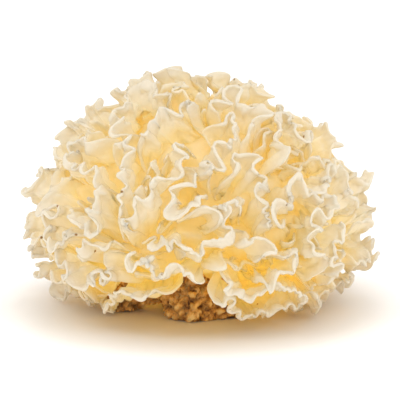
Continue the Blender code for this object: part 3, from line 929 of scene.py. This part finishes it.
def inner_rims(rims):
    """Short low folds wherever the fronds leave a hollow, but not in front of the substrate."""
    rng = np.random.default_rng(SEED + 1)
    crowd = np.concatenate([directions for directions, _ in rims.values()] + [kept_open()])
    crowd = crowd * MEAN_REACH
    turn = np.linspace(-math.pi, math.pi, INNER_SAMPLES)
    found = []
    for level in INNER_ROWS:
        elevation = math.radians(level)
        ring = MEAN_REACH * math.cos(elevation)
        waves = max(FEWEST_WAVES, round(2 * math.pi * ring / INNER_WAVE_LENGTH))
        start = rng.uniform(0, 2 * math.pi, 3)
        second = np.sin(turn * waves * INNER_SECOND_PACE + start[1])
        swell = np.sin(turn * waves + start[0]) + INNER_SECOND_HEIGHT * second
        lift = elevation + INNER_WAVE_HEIGHT * swell / MEAN_REACH
        points = resample(on_ball(turn, lift) * MEAN_REACH, INNER_STEP)
        for run in clear_runs(points, crowd, INNER_CLEARANCE):
            if (len(run) - 1) * INNER_STEP < INNER_SHORTEST:
                continue
            kept = fine_line(run[::2] if len(run) > INNER_LONG_RUN else run, FINE_STEP)
            found.append((unit(kept), rng.uniform(*INNER_REACH)))
    return found


def nodes_of(material):
    """A material's node tree and its main shader."""
    material.use_nodes = True
    tree = material.node_tree
    return tree, tree.nodes["Principled BSDF"]


def link(tree, source, target):
    tree.links.new(source, target)


def object_place(tree):
    return tree.nodes.new("ShaderNodeTexCoord").outputs["Object"]


def noise(tree, scale, detail, roughness=0.5):
    """Noise fixed to the object, from 0 to 1."""
    texture = tree.nodes.new("ShaderNodeTexNoise")
    texture.inputs["Scale"].default_value = scale
    texture.inputs["Detail"].default_value = detail
    texture.inputs["Roughness"].default_value = roughness
    link(tree, object_place(tree), texture.inputs["Vector"])
    return texture.outputs["Fac"]


def ramp(tree, source, stops):
    """A colour that goes from stop to stop as a value rises."""
    node = tree.nodes.new("ShaderNodeValToRGB")
    band = node.color_ramp
    while len(band.elements) < len(stops):
        band.elements.new(0.5)
    for element, (place, colour) in zip(band.elements, stops):
        element.position = place
        element.color = (*colour, 1.0)
    link(tree, source, node.inputs["Fac"])
    return node.outputs["Color"]


def attribute(tree, name):
    node = tree.nodes.new("ShaderNodeAttribute")
    node.attribute_name = name
    return node.outputs["Fac"]


def times(tree, source, factor):
    """A value multiplied by a factor."""
    node = tree.nodes.new("ShaderNodeMath")
    node.operation = "MULTIPLY"
    node.inputs[1].default_value = factor
    link(tree, source, node.inputs[0])
    return node.outputs[0]


def mixed(tree, share, one, two):
    """Two colours mixed, with this share of the second."""
    node = tree.nodes.new("ShaderNodeMix")
    node.data_type = "RGBA"
    link(tree, share, node.inputs["Factor"])
    link(tree, one, node.inputs["A"])
    link(tree, two, node.inputs["B"])
    return node.outputs["Result"]


def bump(tree, height, strength, distance, under=None):
    """A normal roughened by a height, on top of another one."""
    node = tree.nodes.new("ShaderNodeBump")
    node.inputs["Strength"].default_value = strength
    node.inputs["Distance"].default_value = distance
    link(tree, height, node.inputs["Height"])
    if under is not None:
        link(tree, under, node.inputs["Normal"])
    return node.outputs["Normal"]


def jelly_material():
    """Wet translucent jelly: cream at the rims, golden in the hollows, which are painted yellower and
    given a painted glow.
    """
    material = bpy.data.materials.new("jelly")
    tree, shader = nodes_of(material)
    # Yellower with depth: partly the flesh's own colour, partly painted shade of the golden hollows.
    depth = ramp(tree, attribute(tree, "sunk"), FLESH_AND_HOLLOW_SHADE_COLOURS)
    pale = ramp(tree, noise(tree, 55, 3), EDGE_COLOURS)
    colour = mixed(tree, times(tree, attribute(tree, "edge"), EDGE_SHARE), depth, pale)
    specks = tree.nodes.new("ShaderNodeTexVoronoi")
    specks.inputs["Scale"].default_value = SPECK_SCALE
    link(tree, object_place(tree), specks.inputs["Vector"])
    fading = ((SPECK_RADII[0], (1.0,) * 3), (SPECK_RADII[1], (0.0,) * 3))
    spot = ramp(tree, specks.outputs["Distance"], fading)
    colour = mixed(tree, spot, colour, ramp(tree, noise(tree, 300, 2), SPECK_COLOURS))
    link(tree, colour, shader.inputs["Base Color"])
    # Painted glow: emission by depth brightens the hollows as if light gathered there.
    painted_glow = ramp(tree, attribute(tree, "sunk"), PAINTED_HOLLOW_GLOW)
    link(tree, painted_glow, shader.inputs["Emission Color"])
    shader.inputs["Emission Strength"].default_value = 1.0
    fine = bump(tree, noise(tree, 900, 2), 0.5, 0.0006)
    skin = bump(tree, noise(tree, 260, 3, 0.6), 0.5, 0.0011, fine)
    link(tree, skin, shader.inputs["Normal"])
    link(tree, skin, shader.inputs["Coat Normal"])
    shader.inputs["Roughness"].default_value = 0.25
    shader.inputs["IOR"].default_value = 1.35
    shader.inputs["Coat Weight"].default_value = 0.2
    shader.inputs["Coat Roughness"].default_value = 0.1
    shader.inputs["Coat IOR"].default_value = 1.7
    through = tree.nodes.new("ShaderNodeBsdfTranslucent")
    link(tree, colour, through.inputs["Color"])
    both = tree.nodes.new("ShaderNodeMixShader")
    share = ramp(tree, attribute(tree, "edge"), ((0.0, (THROUGH[0],) * 3), (1.0, (THROUGH[1],) * 3)))
    link(tree, share, both.inputs["Fac"])
    link(tree, shader.outputs["BSDF"], both.inputs[1])
    link(tree, through.outputs["BSDF"], both.inputs[2])
    link(tree, both.outputs["Shader"], tree.nodes["Material Output"].inputs["Surface"])
    return material


def substrate_material():
    """Crumbly wood: darkened by painted shade in the crevices, tan on the grains."""
    material = bpy.data.materials.new("crumbly_wood")
    tree, shader = nodes_of(material)
    # Painted shade: the low crevices between the crumbs are coloured near black; the crumbs keep the
    # wood's own tan and brown.
    wood_and_crevice_shade = ramp(tree, attribute(tree, "crumb"), WOOD_AND_CREVICE_SHADE_COLOURS)
    stain = ramp(tree, noise(tree, 420, 6, 0.7), STAIN_COLOURS)
    colour = mixed(tree, times(tree, noise(tree, 160, 2), STAIN_SHARE), wood_and_crevice_shade, stain)
    link(tree, colour, shader.inputs["Base Color"])
    link(tree, bump(tree, noise(tree, 900, 5, 0.7), 0.8, 0.0006), shader.inputs["Normal"])
    shader.inputs["Roughness"].default_value = 0.5
    shader.inputs["Specular IOR Level"].default_value = 0.4
    return material


def joined_shells(shells):
    """Several sheets as the vertices, faces and masks of one piece."""
    vertices = np.concatenate([shell[0] for shell in shells])
    starts = np.cumsum([0] + [len(shell[0]) for shell in shells[:-1]])
    faces = np.concatenate([shell[1] + start for shell, start in zip(shells, starts)])
    masks = {label: np.concatenate([shell[2][label] for shell in shells]) for label in shells[0][2]}
    return vertices, faces, masks


def build_fronds(jelly):
    """Every frond and small fold as a piece, and the inner folds as a few pieces."""
    exact = exact_rims()
    rims = all_rims(exact)
    lines = {}
    for name, (directions, radius) in rims.items():
        points = exact[name] - HEART if name in exact else directions * radius[:, None]
        fine = fine_line(points, FINE_STEP)
        lines[name] = (unit(fine), np.sqrt((fine ** 2).sum(1)) / MM, 1.0)
    for name, points in dome_rims(SMALL_RIMS).items():
        fine = unit(fine_line(resample(points, SMALL_STEP) - HEART, FINE_STEP))
        lines[name] = (fine, reach(fine) / MM * SMALL_REACH, SMALL_STRENGTH)
    thinned = [fine[::CROWD_STEP] for fine, _, _ in lines.values()]
    crowd = np.concatenate(thinned) * MEAN_REACH
    owners = np.repeat(np.arange(len(lines)), [len(line) for line in thinned])
    for number, (name, (directions, far, strength)) in enumerate(lines.items()):
        rng = np.random.default_rng(FROND_SEED + number)
        room = room_beside(directions * MEAN_REACH, number, crowd, owners)
        drop, lip = (OUTLINE_END_DROP, OUTLINE_LIP) if name in OUTLINE_RIMS else (END_DROP, 1)
        strength = strength * QUIET_RIMS.get(name, 1.0)
        shell = sheet(directions, far, room, rng, drop, strength, lip)
        piece = mesh_object(f"frond_{name}_fine", *shell, jelly)
        on_body(piece, f"frond_{name}" if name in rims else None)
    shells = []
    for number, (directions, share) in enumerate(inner_rims(rims)):
        rng = np.random.default_rng(INNER_SEED + number)
        room = room_beside(directions * MEAN_REACH, -1, crowd, owners)
        far = reach(directions) / MM * share
        shells.append(sheet(directions, far, room, rng, INNER_END_DROP, INNER_STRENGTH, 1))
    for part in range(INNER_PIECES):
        shell = joined_shells(shells[part::INNER_PIECES])
        on_body(mesh_object(f"inner_folds_{part + 1}", *shell, jelly))
    print("inner folds:", len(shells))


def ridges(points, length, rng):
    """Rounded ridges with sharp valleys between, in random directions, from about -1 to 1."""
    total = np.zeros(len(points))
    for _ in range(RIDGE_WAVES):
        way = unit(rng.normal(size=3))
        other = unit(rng.normal(size=3))
        turn = 2 * math.pi * (points @ other) / (length * RIDGE_SWIRL_LENGTH)
        swirl = RIDGE_SWIRL * np.sin(turn + rng.uniform(0, RIDGE_START))
        total += 2 * np.abs(np.sin(math.pi * (points @ way) / length + swirl)) - 1
    return total / RIDGE_WAVES


def ball_mesh(detail):
    """The vertices and faces of a fine ball."""
    shape = bmesh.new()
    bmesh.ops.create_icosphere(shape, subdivisions=detail, radius=1)
    shape.verts.index_update()
    vertices = np.array([vertex.co for vertex in shape.verts])
    faces = np.array([[vertex.index for vertex in face.verts] for face in shape.faces])
    shape.free()
    return vertices, faces


def fullness(directions):
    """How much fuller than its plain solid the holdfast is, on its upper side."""
    return 1 + FULLER * np.clip((directions[:, 2] - FULLER_FROM) / FULLER_WITHIN, 0, 1)


def build_holdfast(jelly):
    """The fleshy mass inside the head, wrinkled like tightly packed folds."""
    rng = np.random.default_rng(SEED + 2)
    directions, faces = ball_mesh(HOLDFAST_DETAIL)
    radius = by_elevation(HOLDFAST_AT, directions) * fullness(directions)
    radius *= 1 - SUBSTRATE_HOLLOW * before_substrate(directions)
    points = directions * radius[:, None]
    for length in WRINKLE_LENGTHS:
        radius = radius + WRINKLE_HEIGHT * length * MM * ridges(points / MM, length, rng)
    points = HEART + directions * radius[:, None]
    points[:, 2] = np.maximum(points[:, 2], HOLDFAST_FOOT)
    masks = {"sunk": sunk(points), "edge": np.zeros(len(points))}
    on_body(mesh_object("holdfast_fine", points, faces, masks, jelly), "holdfast")


def crumbs(points, size):
    """Rough crumbs of about a size: low in the crevices, high on the crumbs, from 0 to 1."""
    height = np.array([
        noise_field.turbulence(Vector(point), CRUMB_OCTAVES, True) for point in points / size
    ])
    low, high = np.percentile(height, CRUMB_EXTREMES)
    return np.clip((height - low) / (high - low), 0, 1)


def build_substrate(node, material):
    """The crumbly wood: the plain solid drawn finely, bulged towards the front and roughened."""
    copy = put("substrate_blank", node.data.copy())
    copy.matrix_world = node.matrix_world
    remesh = copy.modifiers.new("even", "REMESH")
    remesh.mode = "VOXEL"
    remesh.voxel_size = SUBSTRATE_VOXEL
    graph = bpy.context.evaluated_depsgraph_get()
    even = copy.evaluated_get(graph).to_mesh()
    points = np.zeros(len(even.vertices) * 3)
    even.vertices.foreach_get("co", points)
    normals = np.zeros(len(even.vertices) * 3)
    even.vertices.foreach_get("normal", normals)
    faces = np.array([list(face.vertices) for face in even.polygons])
    turn = np.array(copy.matrix_world)[:3, :3]
    points = points.reshape(-1, 3) @ turn.T + np.array(copy.matrix_world)[:3, 3]
    normals = unit(normals.reshape(-1, 3) @ turn.T)
    bpy.data.objects.remove(copy)
    front = np.clip((-points[:, 1] - BULGE_FROM) / BULGE_WITHIN, 0, 1)
    points[:, 2] *= 1 + BULGE_HEIGHT * front
    points[:, 0] *= 1 + BULGE_WIDTH * front
    grains = [(crumbs(points, size * MM), height, share) for size, height, share in CRUMBS]
    lift = sum((grain - 0.5) * height for grain, height, _ in grains)
    points = points + normals * (lift * MM)[:, None]
    points[:, 2] = np.maximum(points[:, 2], SUBSTRATE_CLEARANCE)
    masks = {"crumb": sum(share * grain for grain, _, share in grains)}
    on_body(mesh_object("substrate_fine", points, faces, masks, material), "substrate")


def build_floor():
    """The white floor, with a painted shadow under the head and a painted glow away from it."""
    mesh = bpy.data.meshes.new("floor")
    corners = [(x * FLOOR_HALF, y * FLOOR_HALF, 0) for x, y in ((-1, -1), (1, -1), (1, 1), (-1, 1))]
    mesh.from_pydata(corners, [], [(0, 1, 2, 3)])
    material = bpy.data.materials.new("floor")
    tree, shader = nodes_of(material)
    away = tree.nodes.new("ShaderNodeVectorMath")
    away.operation = "LENGTH"
    link(tree, object_place(tree), away.inputs[0])
    far = away.outputs["Value"]
    # Painted shadow: the floor is coloured darker under the head; painted glow: it emits light further
    # away.
    link(tree, ramp(tree, far, FLOOR_SHADOW_COLOURS), shader.inputs["Base Color"])
    link(tree, ramp(tree, far, FLOOR_PAINTED_GLOW), shader.inputs["Emission Color"])
    shader.inputs["Emission Strength"].default_value = 1.0
    shader.inputs["Roughness"].default_value = 0.6
    mesh.materials.append(material)
    put("floor", mesh)


def area_light(name, place, size, power):
    """A square lamp that shines at the head."""
    data = bpy.data.lights.new(name, "AREA")
    data.shape = "SQUARE"
    data.size = size
    data.energy = power
    lamp = put(name, data)
    lamp.location = place
    lamp.rotation_euler = (LIT_PLACE - Vector(place)).to_track_quat("-Z", "Y").to_euler()


def build_light():
    """White light from all around, and the lamps."""
    world = bpy.data.worlds.new("studio")
    bpy.context.scene.world = world
    world.use_nodes = True
    back = world.node_tree.nodes["Background"]
    back.inputs["Color"].default_value = (1, 1, 1, 1)
    back.inputs["Strength"].default_value = 1.0
    for name, (place, size, power) in LAMPS.items():
        area_light(name, place, size, power)


def build_camera():
    """The camera, placed so that a pixel of the photograph is its named size at the heart."""
    data = bpy.data.cameras.new("camera")
    data.sensor_width = SENSOR
    data.lens = SENSOR * VIEW_DISTANCE / (PHOTO_SIDE * PIXEL)
    camera = put("camera", data)
    camera.location = EYE
    camera.rotation_euler = (math.pi / 2 - VIEW_ELEVATION, 0, 0)
    bpy.context.scene.camera = camera


def main():
    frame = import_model()
    scene = bpy.context.scene
    scene.view_settings.view_transform = "Standard"
    scene.cycles.max_bounces = 32
    scene.cycles.diffuse_bounces = 24
    scene.cycles.transmission_bounces = 16
    build_camera()
    build_floor()
    build_light()
    jelly = jelly_material()
    build_fronds(jelly)
    build_holdfast(jelly)
    build_substrate(frame["nodes"]["substrate"], substrate_material())


main()
